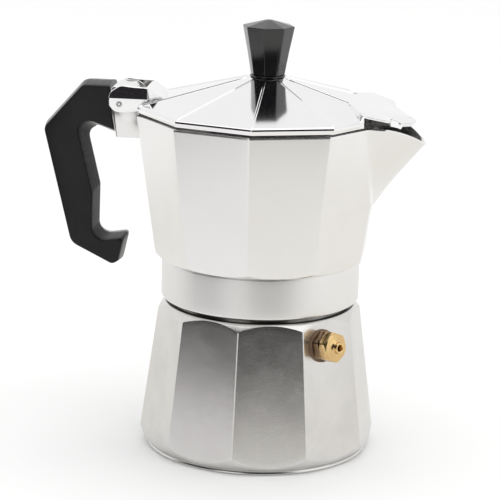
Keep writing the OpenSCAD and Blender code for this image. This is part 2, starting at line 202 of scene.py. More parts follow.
M = {
    "jug": metal("cast_aluminium_jug", (0.80, 0.792, 0.778), (0.832, 0.827, 0.818), 0.24, 0.03, 2600.0, 0.0000008,
                 edge=(0.93, 0.93, 0.92), turned=(0.056, 0.0708, 9000.0, 1.6), turned_rough=0.2),
    # the boiler's dark band in the neck recess under the collar is painted shade
    "boiler": metal("cast_aluminium_boiler", (0.64, 0.63, 0.615), (0.70, 0.69, 0.675), 0.235, 0.07, 1900.0, 0.0000142,
                    edge=(0.93, 0.92, 0.91), edge_highlight_fac=0.15, blotch=60.0, recess_shade=(0.0531, 0.0556, 0.03462, (0.10, 0.097, 0.092))),
    "lid": metal("polished_aluminium", (0.84, 0.835, 0.84), (0.875, 0.87, 0.87), 0.09, 0.04, 2600.0, 0.0000012,
                 edge=(0.95, 0.95, 0.95)),
    # near-black painted shade for the cover's wall under its roof, where the overhang shades it
    "skirt": metal("skirt_painted_shade", (0.012, 0.012, 0.013), (0.085, 0.083, 0.08), 0.42, 0.2, 1500.0, 0.00006, edge=(0.5, 0.5, 0.5), blotch=900.0),
    "fork": metal("cast_polished_aluminium", (0.83, 0.825, 0.825), (0.87, 0.865, 0.86), 0.13, 0.06, 420.0, 0.00011, edge=(0.95, 0.95, 0.95)),
    "spun": metal("spun_aluminium", (0.74, 0.74, 0.73), (0.80, 0.80, 0.79), 0.24, 0.1, 2400.0, 0.00001,
                  turned=(0.0, 0.09, 7000.0, 1.2)),
    # the dark crevice colours on the brass and the valve body are painted shade in their hollows
    "brass": metal("brass", (0.74, 0.52, 0.24), (0.66, 0.45, 0.21), 0.2, 0.1, 2600.0, 0.00001,
                   edge=(0.9, 0.74, 0.47), edge_highlight_fac=0.5, blotch=260.0, crevice_shade=(0.10, 0.055, 0.02)),
    # a darker copy of the brass for the valve body: painted dark reflection on its faces
    "brass_body_painted_reflection": metal("brass_body_painted_reflection", (0.34, 0.225, 0.13), (0.23, 0.15, 0.09), 0.24, 0.1, 2600.0, 0.00001,
                        edge=(0.85, 0.68, 0.46), edge_highlight_fac=0.6, blotch=300.0, crevice_shade=(0.07, 0.04, 0.02)),
    "steel": metal("steel", (0.56, 0.55, 0.53), (0.66, 0.65, 0.64), 0.24, 0.1, 3000.0, 0.000008,
                   edge=(0.85, 0.85, 0.85)),
    "handle": plastic("black_plastic", (0.008, 0.008, 0.0092), (0.012, 0.012, 0.013), 0.25, 0.08, spec=0.2),
    # the pin's near-black crevice colour is painted shade in its groove and end marks
    "pin": metal("dark_steel", (0.30, 0.29, 0.28), (0.42, 0.41, 0.40), 0.3, 0.1, 3000.0, 0.000008, edge=(0.75, 0.75, 0.75), crevice_shade=(0.03, 0.03, 0.03)),
    "knob": plastic("knob_plastic", (0.008, 0.0075, 0.0085), (0.013, 0.012, 0.0125), 0.13, 0.06, 2600.0, 0.000004, 0.7),
    "silicone": plastic("silicone", (0.72, 0.71, 0.68), (0.79, 0.78, 0.75), 0.55, 0.1, 1800.0, 0.00001, 0.35,
                        (0.85, 0.84, 0.82)),
    # the washer's own fibre brown, darkened to match the shaded base of the hex: partly its colour, partly painted
    # shade
    "fibre": plastic("fibre_washer", (0.13, 0.08, 0.05), (0.2, 0.125, 0.08), 0.7, 0.14, 1500.0, 0.00003, 0.25,
                     (0.34, 0.24, 0.17)),
}


# --------------------------------------------------------------- mesh helpers
def build(name, verts, faces, mat, body, replaces=(), angle=30.0, weld=2e-6, bevel=None):
    me = bpy.data.meshes.new(name)
    me.from_pydata([(float(v[0]) * MM, float(v[1]) * MM, float(v[2]) * MM) for v in verts], [],
                   [tuple(int(i) for i in f) for f in faces])
    bm = bmesh.new()
    bm.from_mesh(me)
    bmesh.ops.remove_doubles(bm, verts=bm.verts, dist=weld)
    bmesh.ops.dissolve_degenerate(bm, dist=1e-7, edges=bm.edges)
    loose = [v for v in bm.verts if not v.link_faces]
    if loose:
        bmesh.ops.delete(bm, geom=loose, context="VERTS")
    bmesh.ops.recalc_face_normals(bm, faces=bm.faces)
    bm.to_mesh(me)
    bm.free()
    me.shade_smooth()
    me.set_sharp_from_angle(angle=rad(angle))
    ob = bpy.data.objects.new(name, me)
    scene.collection.objects.link(ob)
    me.materials.append(mat)
    if bevel:
        mod = ob.modifiers.new("bevel", "BEVEL")
        mod.width = bevel[0] * MM
        mod.segments = bevel[1]
        mod.limit_method = "ANGLE"
        mod.angle_limit = rad(bevel[2] if len(bevel) > 2 else 30)
        mod.harden_normals = False
    if body:
        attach(ob, body)
    if replaces:
        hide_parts(*replaces)
    return ob


class Soup:
    """Collects closed shells, in millimetres."""

    def __init__(self):
        self.v, self.f = [], []

    def add(self, verts, faces):
        o = len(self.v)
        self.v += [tuple(float(c) for c in p) for p in verts]
        self.f += [tuple(i + o for i in f) for f in faces]

    def loft(self, rows, loop=False, caps=(True, True)):
        n = len(rows[0])
        verts = [p for r in rows for p in r]
        faces = []
        m = len(rows)
        for j in range(m if loop else m - 1):
            a, b = j * n, ((j + 1) % m) * n
            for i in range(n):
                k = (i + 1) % n
                faces.append((a + i, a + k, b + k, b + i))
        if not loop:
            for side, row, base in ((0, rows[0], 0), (1, rows[-1], (m - 1) * n)):
                if caps[side] is True:
                    faces.append(tuple(base + i for i in (range(n - 1, -1, -1) if side == 0 else range(n))))
                elif caps[side] is not None and caps[side] is not False:
                    verts.append(caps[side])
                    c = len(verts) - 1
                    for i in range(n):
                        faces.append((base + (i + 1) % n, base + i, c) if side == 0 else (base + i, base + (i + 1) % n, c))
        self.add(verts, faces)

    def prism(self, poly, y0, y1, swap=True):
        """poly in (x, z), carried from y0 to y1."""
        n = len(poly)
        v = [(p[0], y0, p[1]) for p in poly] + [(p[0], y1, p[1]) for p in poly]
        f = [tuple(range(n)), tuple(range(2 * n - 1, n - 1, -1))]
        f += [(i, i + n, (i + 1) % n + n, (i + 1) % n) for i in range(n)]
        self.add(v, f)


def line(p, q):
    p, q = np.array(p, float), np.array(q, float)
    return lambda t: p + (q - p) * t


def ring(segs, cuts, counts, m=4):
    """A closed row of points along segs, each corner rounded over cuts[k] mm of either side."""
    n = len(segs)
    lengths = [np.linalg.norm(s(0.5) - s(0.0)) + np.linalg.norm(s(1.0) - s(0.5)) for s in segs]
    out = []
    for k in range(n):
        q = segs[k](0.0)
        a = segs[k - 1](1 - min(0.45, cuts[k] / lengths[k - 1]))
        tb = min(0.45, cuts[k] / lengths[k])
        b = segs[k](tb)
        for i in range(m + 1):
            t = i / m
            out.append((1 - t) ** 2 * a + 2 * t * (1 - t) * q + t * t * b)
        tc = 1 - min(0.45, cuts[(k + 1) % n] / lengths[k])
        for i in range(1, counts[k]):
            out.append(segs[k](tb + (tc - tb) * i / counts[k]))
    return np.array(out)


def polygon_ring(radius, sides, first, cut, count, m=4, z=0.0):
    c = [np.array([radius * math.cos(rad(first + 360 * k / sides)), radius * math.sin(rad(first + 360 * k / sides)), z])
         for k in range(sides)]
    return ring([line(c[k], c[(k + 1) % sides]) for k in range(sides)], [cut] * sides, [count] * sides, m)


def rounded(pts, n=5):
    """pts are (x, y, radius) of a closed outline."""
    out = []
    for i in range(len(pts)):
        p, q, s = (np.array(pts[j][:2], float) for j in (i - 1, i, (i + 1) % len(pts)))
        r = pts[i][2]
        if r <= 0:
            out.append(q)
            continue
        u, v = (p - q) / np.linalg.norm(p - q), (s - q) / np.linalg.norm(s - q)
        half = math.acos(max(-1, min(1, float(u @ v)))) / 2
        if half > math.pi / 2 - 0.01:
            out += [q] * (n + 1)
            continue
        d = min(r / math.tan(half), 0.48 * np.linalg.norm(p - q), 0.48 * np.linalg.norm(s - q))
        r = d * math.tan(half)
        mm = (u + v) / np.linalg.norm(u + v)
        c = q + mm * r / math.sin(half)
        t0, t1 = q + u * d - c, q + v * d - c
        a0, a1 = math.atan2(t0[1], t0[0]), math.atan2(t1[1], t1[0])
        da = (a1 - a0 + math.pi) % (2 * math.pi) - math.pi
        out += [c + r * np.array([math.cos(a0 + da * j / n), math.sin(a0 + da * j / n)]) for j in range(n + 1)]
    return out


def smin(a, b, k):
    h = max(k - abs(a - b), 0.0) / k
    return min(a, b) - h * h * k * 0.25


# --------------------------------------------------------------------- boiler
def b_R(z):
    return 43.4 - (z - 6) * 6.1 / 45.5


BT = -5.1
unit = polygon_ring(1.0, 10, 18 + BT, 0.0125, 10, 4)
b_rho = np.hypot(unit[:, 0], unit[:, 1])
b_th = np.arctan2(unit[:, 1], unit[:, 0])


def b_env(z):
    return 32.6 + math.sqrt(max(0.0, 125.44 - (z - 9.5) ** 2))


b_low, b_high = [], []
CONE = 3.1 / 3.2
for rho in b_rho:
    a, b = 1.5, 9.5
    for _ in range(40):
        c = (a + b) / 2
        if b_env(c) < rho * b_R(c):
            a = c
        else:
            b = c
    b_low.append((a + b) / 2)
    A, B = b_R(0.0), 6.1 / 45.5
    b_high.append((37.3 + 51.5 * CONE - rho * A) / (CONE - rho * B))
b_low, b_high = np.array(b_low), np.array(b_high)


def polar(r, z, th):
    r = np.broadcast_to(np.array(r, float), th.shape)
    z = np.broadcast_to(np.array(z, float), th.shape)
    return np.stack([r * np.cos(th), r * np.sin(th), z], 1)


def bfun(f, zs):
    return np.array([f(z) for z in zs])


rows = []
P = lambda r, z: rows.append(polar(r, z, b_th))
for r, z in ((6, 0.3), (12, 0.3), (12.4, 0.15), (13, 0.15), (13.4, 0.3), (24, 0.3), (33.5, 0.3), (34.3, 0.2), (35.0, 0.02), (35.6, 0),
             (39.7, 0), (40.35, 0.1), (40.72, 0.4), (40.7, 0.85), (40.42, 1.2)):
    P(r, z)
for t in (0.0, 0.2, 0.4, 0.6, 0.8, 0.93):
    zz = 1.6 + (b_low - 1.6) * t
    P(bfun(b_env, zz), zz)
zz = b_low
flat = lambda zz: b_rho * np.array([b_R(z) for z in zz])
e0 = bfun(b_env, b_low)
P(e0 - 0.02, zz)
for t in (0.012, 0.05, 0.15, 0.3, 0.45, 0.6, 0.75, 0.88, 0.96):
    zz = b_low + (b_high - 0.28 - b_low) * t
    P(flat(zz), zz)
zz = b_high - 0.28
P(flat(zz), zz)
cone = lambda zz: 37.3 + (51.5 - zz) * CONE
za, zb_, zq = b_high - 0.28, b_high + 0.1, b_high
ra, rb, rq = flat(za), cone(zb_), flat(zq)
for t in (0.25, 0.5, 0.75, 1.0):
    P((1 - t) ** 2 * ra + 2 * t * (1 - t) * rq + t * t * rb, (1 - t) ** 2 * za + 2 * t * (1 - t) * zq + t * t * zb_)
zz = zb_ + (54.05 - zb_) * 0.6
P(cone(zz), zz)
for r, z in ((34.8, 54.08), (34.68, 54.16), (34.5, 54.14), (34.4, 54.0), (34.35, 53.8), (34.1, 53.6), (33.4, 53.55), (33.1, 53.7), (33.05, 54.0), (33.05, 55.1),
             (32.9, 55.3), (32.3, 55.35), (32.05, 55.6)):
    P(r, z)
z = 56.0
while z < 67.05:
    amp = 0.36 * sstep(56.0, 57.2, z) * (1 - sstep(66.0, 67.0, z))
    ph = 2 * math.pi * (z / 2.4) - b_th
    P(32.05 + amp * (1 + np.clip(1.5 * np.cos(ph), -1, 1)), z)
    z += 0.24
for r, z in ((32.05, 67.25), (31.95, 67.7), (31.7, 67.95), (31.4, 68), (30.75, 68), (30.5, 67.9), (30.4, 67.65), (30.4, 60), (30.4, 54.6),
             (30.9, 53.6), (32.2, 52), (33.8, 40), (35.6, 25), (37.4, 8.2), (37.0, 6.3), (35.6, 4.4), (34.2, 3.4), (32.5, 3), (20, 3), (8, 3)):
    P(r, z)
s = Soup()
s.loft(rows, caps=((0, 0, 0.3), (0, 0, 3)))
boiler = build("boiler_body", s.v, s.f, M["boiler"], "boiler", ["boiler"], angle=38)

# ---------------------------------------------------------------- safety valve
VD = rad(-36 - 5)
V_AP = b_R(45.3) * math.cos(rad(18))
tilt = math.atan(6.1 / 45.5 * math.cos(rad(18)))


def valve_pt(p):
    """Valve frame to the shared frame: local +Z leaves the boiler square to its face."""
    x, y, z = p
    a = math.pi / 2 - tilt
    X, Z = x * math.cos(a) + z * math.sin(a), -x * math.sin(a) + z * math.cos(a)
    X, Y, Z = X + V_AP, y - 3.0, Z + 45.3
    return (X * math.cos(VD) - Y * math.sin(VD), X * math.sin(VD) + Y * math.cos(VD), Z)


NV = 120
v_th = np.array([2 * math.pi * i / NV for i in range(NV)])


def hexr(th, R, turn=8.0):
    ap = R * math.cos(math.pi / 6)
    a = ((th - rad(turn)) % (math.pi / 3)) - math.pi / 6
    sharp = ap / np.cos(a)
    return np.minimum(sharp, R - 0.12)


def hex_rows(R, z0, z1, c0, c1, slope=0.62):
    """Outer rows of a hexagon with turned chamfers: c0 and c1 are the depths of the chamfers at its corners."""
    hx = hexr(v_th, R)
    out = []
    low = z0 + np.maximum(0.0, (hx - (R - c0)) * slope)
    high = z1 - np.maximum(0.0, (hx - (R - c1)) * slope)
    for t in (0.0, 0.35, 0.7, 0.94):
        zz = z0 + (low - z0) * t
        rr = np.minimum(hx, (R - c0) + np.where(low > z0, (zz - z0) / slope, 0) + 0 * hx)
        out.append(polar(np.where(hx > R - c0, rr, hx - 0.06 * (1 - t)), zz, v_th))
    out.append(polar(hx, low + 0.05, v_th))
    out.append(polar(hx, lerp(low, high, 0.5), v_th))
    out.append(polar(hx, high - 0.05, v_th))
    for t in (0.94, 0.7, 0.35, 0.0):
        zz = z1 + (high - z1) * t
        rr = np.minimum(hx, (R - c1) + np.where(high < z1, (z1 - zz) / slope, 0) + 0 * hx)
        out.append(polar(np.where(hx > R - c1, rr, hx - 0.06 * (1 - t)), zz, v_th))
    return out


def vrow(r, z):
    return polar(r, z, v_th)


rows = [vrow(2.2, -3.6), vrow(2.2, -4.6), vrow(2.5, -4.95), vrow(3.4, -5.0), vrow(3.7, -4.7)]
z = -4.4
while z < 0.2:
    rows.append(vrow(3.62 + 0.13 * (1 + np.cos(2 * math.pi * z / 0.9 - v_th)), z))
    z += 0.12
rows += [vrow(3.7, 0.35), vrow(3.75, 0.62), vrow(4.9, 0.62)]
rows += hex_rows(5.8, 0.66, 3.86, 0.55, 0.85)
rows += [vrow(4.6, 3.88), vrow(3.75, 3.88), vrow(3.55, 3.95), vrow(3.5, 4.4), vrow(3.5, 5.8), vrow(3.3, 6.1), vrow(2.5, 6.1), vrow(2.2, 5.9)]
s = Soup()
s.loft(rows, loop=True)
s.v = [valve_pt(p) for p in s.v]
# the valve body takes the darker brass copy, a painted dark reflection
build("valve_body_hex", s.v, s.f, M["brass_body_painted_reflection"], "boiler", ["valve_body"], angle=28)

rows = [vrow(3.72, 5.9), vrow(3.72, 4.02), vrow(4.6, 4.0)]
rows += hex_rows(5.8, 4.05, 7.22, 0.75, 1.0)
rows += [vrow(4.86, 7.24), vrow(4.8, 7.36), vrow(4.62, 7.48), vrow(4.3, 7.52), vrow(3.6, 7.56), vrow(3.0, 7.66), vrow(2.55, 7.86),
         vrow(2.2, 8.16), vrow(2.02, 8.5), vrow(2.0, 8.95), vrow(1.94, 9.25), vrow(1.78, 9.43), vrow(1.55, 9.48), vrow(1.32, 9.44),
         vrow(1.18, 9.3), vrow(1.15, 9.0), vrow(1.15, 7.6), vrow(1.15, 6.95), vrow(2.2, 6.9), vrow(2.25, 6.2), vrow(3.5, 6.2)]
s = Soup()
s.loft(rows, loop=True)
s.v = [valve_pt(p) for p in s.v]
build("valve_cap_hex", s.v, s.f, M["brass"], "boiler", ["valve_cap"], angle=28)

# ------------------------------------------------------------------------ jug
JS = (46.7 - 39.6) / 47.5


def j_R(z):
    return 39.6 + (z - 76) * JS


DK = [54 + 36 * k for k in range(4)]  # corners G, H, I, the far one, then A, B, C, D on the near side
RIM = 123.4


def corner(R, a, z):
    return np.array([R * math.cos(rad(a)), R * math.sin(rad(a)), z])


class Wall:
    """One skin of the jug, at inset w from the outside."""

    def __init__(self, w):
        self.w = w
        if w == 0:
            self.Q, self.P1, self.K0, self.T = (40.4, 13.1, 94.0), (38.2, 22.9, 123.4), (40.0, 0.0, 91.2), (60.2, 0, 115.15)
        else:
            self.Q, self.P1, self.K0, self.T = (38.75, 12.45, 94.4), (37.5, 21.4, 123.4), (38.2, 0.0, 92.2), (58.55, 0, 115.15)
        self.Q, self.P1, self.K0, self.T = (np.array(p, float) for p in (self.Q, self.P1, self.K0, self.T))
        self.top = {}

    def R(self, z):
        return j_R(z) - self.w / math.cos(rad(18))

    def patch(self, u, v, sgn):
        p = (1 - v) * (self.Q + u * (self.P1 - self.Q)) + v * (self.K0 + u * (self.T - self.K0))
        p = p + np.array([0.737, 0.676, 0.0]) * (7.4 * u * u * v * v * (1 - v))
        return np.array([p[0], sgn * p[1], p[2]])

    def u_top(self, v):
        key = round(v, 6)
        if key not in self.top:
            a, b = 0.7, 1.4
            for _ in range(40):
                c = (a + b) / 2
                p = self.patch(c, v, 1)
                lip = (max(0.0, p[0] - 38.0) ** 2 + (p[2] - 93.3) ** 2) ** 0.5 - 30.12
                if lip < 0:
                    a = c
                else:
                    b = c
            self.top[key] = (a + b) / 2
        return self.top[key]

    def row(self, z, cut=0.6):
        """z is the height on the plain facets; the spout's wall rises in step with it."""
        Rz = self.R(z)
        cs = [corner(Rz, a, z) for a in DK] + [corner(Rz, a + 144, z) for a in DK]
        if z >= self.Q[2]:
            u = (z - self.Q[2]) / (RIM - self.Q[2])
            f = lambda v, sgn: self.patch(u * self.u_top(v), v, sgn)
        else:
            zk = 71 + (z - 71) * (self.K0[2] - 71) / (self.Q[2] - 71)
            ap = self.R(zk) * math.cos(rad(18))

            def f(v, sgn):
                e = corner(Rz, 18, z)
                kk = np.array([ap, 0.0, zk])
                p = e + (kk - e) * v
                return np.array([p[0], sgn * p[1], p[2]])

        segs = [line(cs[i], cs[i + 1]) for i in range(7)]
        segs.append(line(cs[7], f(0.0, -1)))
        segs.append(lambda t: f(t, -1))
        segs.append(lambda t: f(1 - t, 1))
        segs.append(line(f(0.0, 1), cs[0]))
        up = sstep(92.0, 104.0, z)
        jc = lerp(cut, 0.9, up)
        kc = 0.5 + 4.2 * up if z > 90 else 0.5
        cuts = [cut] * 8 + [jc, kc, jc]
        return ring(segs, cuts, [9] * 7 + [8, 16, 16, 8], 4)


outer, inner = Wall(0.0), Wall(1.75)
ref = outer.row(76.0)
j_th = np.arctan2(ref[:, 1], ref[:, 0])


def env(p, e, k=0.35):
    """Row p held inside a turned profile of radius e."""
    out = p.copy()
    for i, q in enumerate(p):
        r = math.hypot(q[0], q[1])
        m = smin(r, e, k)
        out[i, 0] *= m / r
        out[i, 1] *= m / r
    return out


def jrow(r, z):
    return polar(r, z, j_th)


rows = [jrow(6.05, 79.4), jrow(6.05, 77.4), jrow(6.3, 77.15), jrow(7, 77), jrow(16, 75.15), jrow(25.6, 73.3), jrow(26.2, 73.2), jrow(28.8, 73.2), jrow(28.8, 72.3),
        jrow(28.95, 72.15), jrow(32.9, 72.15), jrow(33.1, 72.0), jrow(33.1, 69.2)]
z = 68.4
while z > 57.3:
    amp = 0.36 * sstep(57.3, 58.4, z) * (1 - sstep(67.2, 68.4, z))
    rows.append(jrow(33.1 + amp * (1 + np.clip(1.5 * np.cos(2 * math.pi * z / 2.4 - j_th), -1, 1)), z))
    z -= 0.24
rows += [jrow(33.1, 57.0), jrow(33.25, 56.6), jrow(33.7, 56.2), jrow(34.1, 56.03), jrow(34.5, 56.0), jrow(35.15, 56.0),
         jrow(35.6, 56.08), jrow(35.92, 56.3), jrow(36.06, 56.62), jrow(36.1, 57.0), jrow(36.1, 60), jrow(36.1, 64), jrow(36.1, 68),
         jrow(36.1, 70.2), jrow(36.07, 70.55), jrow(35.95, 70.75), jrow(35.9, 70.95)]
for z, e in ((71.0, 36.15), (71.12, 36.65), (71.3, 37.15), (71.55, 37.6), (71.9, 38.05), (72.3, 38.45), (72.8, 38.85), (73.4, 39.22), (74.1, 39.5), (75.0, 39.9),
             (76.2, 40.6)):
    rows.append(env(outer.row(z), e))
for z in (78, 82, 86, 89, 91, 92.5, 94, 95.5, 97.5, 100, 103, 107, 111, 115, 118.5, 121, 122.4, RIM - 0.4):
    rows.append(outer.row(z))
o_top, i_top = outer.row(RIM), inner.row(RIM)
wdt = np.linalg.norm(i_top - o_top, axis=1)[:, None]
up = np.array([0, 0, 1.0])
lip = np.array([sstep(38.5, 44.0, p[0]) for p in o_top])[:, None]
for d, h in ((0.1 - 0.07 * lip, -0.17 - 0.33 * lip), (0.28 + 0.07 * lip, -0.04 - 0.17 * lip), (0.5 + 0.1 * lip, 0.0 * lip)):
    rows.append(o_top + (i_top - o_top) * (d / wdt) + up * h)
for d, h in ((0.5 + 0.05 * lip, 0.0 * lip), (0.28 + 0.02 * lip, -0.04 - 0.13 * lip), (0.1 - 0.08 * lip, -0.17 - 0.25 * lip)):
    rows.append(i_top + (o_top - i_top) * (d / wdt) + up * h)
for z in (RIM - 1.2, 121, 117, 112, 107, 103, 100, 97.5, 95.8, 94.4, 93, 91, 88.5):
    rows.append(inner.row(z))
for z, e in ((86.5, 37.4), (84.8, 36.4), (83.2, 35.0), (81.8, 33.5), (80.6, 31.8), (79.9, 30.0), (79.6, 28.4)):
    rows.append(env(inner.row(z), e, 1.2))
rows += [jrow(27, 79.5), jrow(18, 79.5), jrow(9, 79.5), jrow(6.3, 79.5)]
s = Soup()
s.loft(rows, loop=True)

# lug for the hinge pin and the handle
lug = rounded([(-42, 118, 0), (-43, 113.6, 1.2), (-52.8, 113.6, 0.25), (-54.4, 122.6, 0), (-54.8, 131.2, 0.3), (-54, 132.1, 0.5), (-47.6, 132.1, 1.0),
               (-45.2, 130.6, 2.5), (-44.5, 127.5, 2.0), (-43.9, 124.0, 1.2), (-42, 122, 0)], 4)
lay = [(-7.5, 0.45), (-7.37, 0.18), (-7.1, 0.0), (7.1, 0.0), (7.37, 0.18), (7.5, 0.45)]


def inset_line(pts, d):
    n = len(pts)
    out = []
    for i in range(n):
        p, q, t = pts[i - 1], pts[i], pts[(i + 1) % n]
        a, b = q - p, t - q
        la, lb = np.linalg.norm(a), np.linalg.norm(b)
        if la < 1e-9 or lb < 1e-9:
            out.append(q)
            continue
        na, nb = np.array([-a[1], a[0]]) / la, np.array([-b[1], b[0]]) / lb
        m = na + nb
        m = m / np.linalg.norm(m)
        out.append(q + m * d / max(0.5, float(m @ na)))
    return out


def area(pts):
    return 0.5 * sum(pts[i - 1][0] * pts[i][1] - pts[i][0] * pts[i - 1][1] for i in range(len(pts)))


def layered(soup, pts, layers):
    sgn = 1 if area(pts) > 0 else -1
    rr = []
    for y, d in layers:
        q = inset_line(pts, sgn * d) if d else pts
        rr.append(np.array([[p[0], y, p[1]] for p in q]))
    soup.loft(rr)


clean = [p for i, p in enumerate(lug) if np.linalg.norm(p - lug[i - 1]) > 0.02]
layered(s, clean, lay)
s.prism([(-67.5, 119.8), (-54, 119.8), (-54, 128), (-67.5, 128)], -3.4, 3.4)
jug = build("jug_body", s.v, s.f, M["jug"], "jug", ["jug"], angle=30)

# --------------------------------------------------------------------- handle
H = [(-55.7, 133.1, 0.5, "o"), (-65.6, 133.1, 3, "o"), (-80.3, 116.3, 3.2, "o"), (-69.9, 73.2, 5, "o"), (-54, 65.4, 2.2, "e"),
     (-51.1, 67.2, 1.4, "e"), (-48.85, 77.4, 1.0, "h"), (-59.9, 75.6, 6, "g"), (-59.6, 95, 3.5, "i"),
     (-65, 117.8, 5.5, "i"), (-52.9, 113.7, 0.3, "f"), (-54.5, 122.6, 0.0, "f"), (-54.9, 131.2, 0.3, "f")]


def handle_layer(o, e, i, f):
    """The outline with each side drawn in by its own distance: outer side, hook end, inner side, end at the lug."""
    d = {"o": o, "e": e, "i": i, "f": f, "h": 0.25 * i + 0.5 * e, "g": 0.75 * i}
    n = len(H)
    pts = []
    for k in range(n):
        p, q, t = (np.array(H[j % n][:2], float) for j in (k - 1, k, k + 1))
        a, b = (q - p) / np.linalg.norm(q - p), (t - q) / np.linalg.norm(t - q)
        da, db = d[H[k - 1][3]], d[H[k][3]]
        if area([np.array(h[:2]) for h in H]) > 0:
            na, nb = np.array([-a[1], a[0]]), np.array([-b[1], b[0]])
        else:
            na, nb = np.array([a[1], -a[0]]), np.array([b[1], -b[0]])
        mat = np.array([na, nb])
        if abs(np.linalg.det(mat)) < 0.08:
            x = q + na * (da + db) / 2
        else:
            x = q + np.linalg.solve(mat, np.array([da, db]))
        pts.append((x[0], x[1], max(0.12, H[k][2] + (0.0 if H[k][3] != "i" else 0.0)) if H[k][2] else 0.0))
    return rounded(pts, 6)


layers = [(7.5, 1.55, 1.5, 2.9, 0.55), (7.44, 1.2, 1.1, 2.55, 0.25), (7.22, 0.95, 0.8, 2.3, 0.08), (6.8, 0.82, 0.62, 2.12, 0.0), (5.5, 0.62, 0.45, 1.7, 0.0),
          (3.5, 0.36, 0.25, 1.05, 0.0), (1.2, 0.1, 0.08, 0.36, 0.0), (0.3, 0.03, 0.02, 0.12, 0.0), (0.14, 0.1, 0.09, 0.2, 0.0)]
full = [(y, *d) for y, *d in layers] + [(-y, *d) for y, *d in reversed(layers)]
s = Soup()
s.loft([np.array([[p[0], y, p[1]] for p in handle_layer(*d)]) for y, *d in full])
grip = build("handle_grip", s.v, s.f, M["handle"], "jug", ["handle"], angle=24)
grip.visible_glossy = False
hole = Soup()
hc = [2 * math.pi * i / 48 for i in range(48)]
hole.loft([np.array([[-58.6 + 2.9 * math.cos(a), 2.9 * math.sin(a), z] for a in hc]) for z in (105.0, 118.8)])
cutter = build("grip_hole_tool", hole.v, hole.f, M["handle"], None, angle=30)
mod = grip.modifiers.new("hole", "BOOLEAN")
mod.operation = "DIFFERENCE"
mod.solver = "EXACT"
mod.object = cutter
bpy.context.view_layer.update()
cut_mesh = bpy.data.meshes.new_from_object(grip.evaluated_get(bpy.context.evaluated_depsgraph_get()))
grip.modifiers.clear()
grip.data = cut_mesh
cut_mesh.shade_smooth()
cut_mesh.set_sharp_from_angle(angle=rad(24))
bpy.data.objects.remove(cutter)

# ------------------------------------------------------------------------ lid
LX, LR, LE, SL = 0.8, 47.0, 126.5, 0.2593
E1R = 31.65


def l_z(R):
    return LE + (LR - R) * SL


ROOF = SL / math.cos(rad(18))


def roof(x):
    return LE + LR * SL - ROOF * (x - LX)


TOPC = np.array([37.4, -24.8])
FOOT = np.array([36.6, -26.15])
OUT = [(37.4, -24.8, 0.2), (45.4, -20.9, 0.05), (46.1, -20.0, 0.12), (46.5, -13.0, 0.45), (50.2, -10.8, 1.25), (53.1, -6.8, 1.0), (54.45, -3.2, 0.7),
       (54.8, 0.0, 0.5)]
N_HALF = 34


def out_point(f):
    """Point and droop on the cover's outline, f from the near corner (0) to the tip (1)."""
    pts = [np.array(p[:2]) for p in OUT]
    ls = [np.linalg.norm(pts[i + 1] - pts[i]) for i in range(len(pts) - 1)]
    d = f * sum(ls)
    for i, l in enumerate(ls):
        if d <= l or i == len(ls) - 1:
            t = min(1.0, d / l)
            return pts[i] + (pts[i + 1] - pts[i]) * t, lerp(OUT[i][2], OUT[i + 1][2], t)
        d -= l


RIB = [(-0.8, 0.0), (-0.52, 0.0), (-0.36, 0.2), (-0.12, 0.27), (0.12, 0.27), (0.36, 0.2), (0.52, 0.0), (0.8, 0.0)]
SIDE = 8


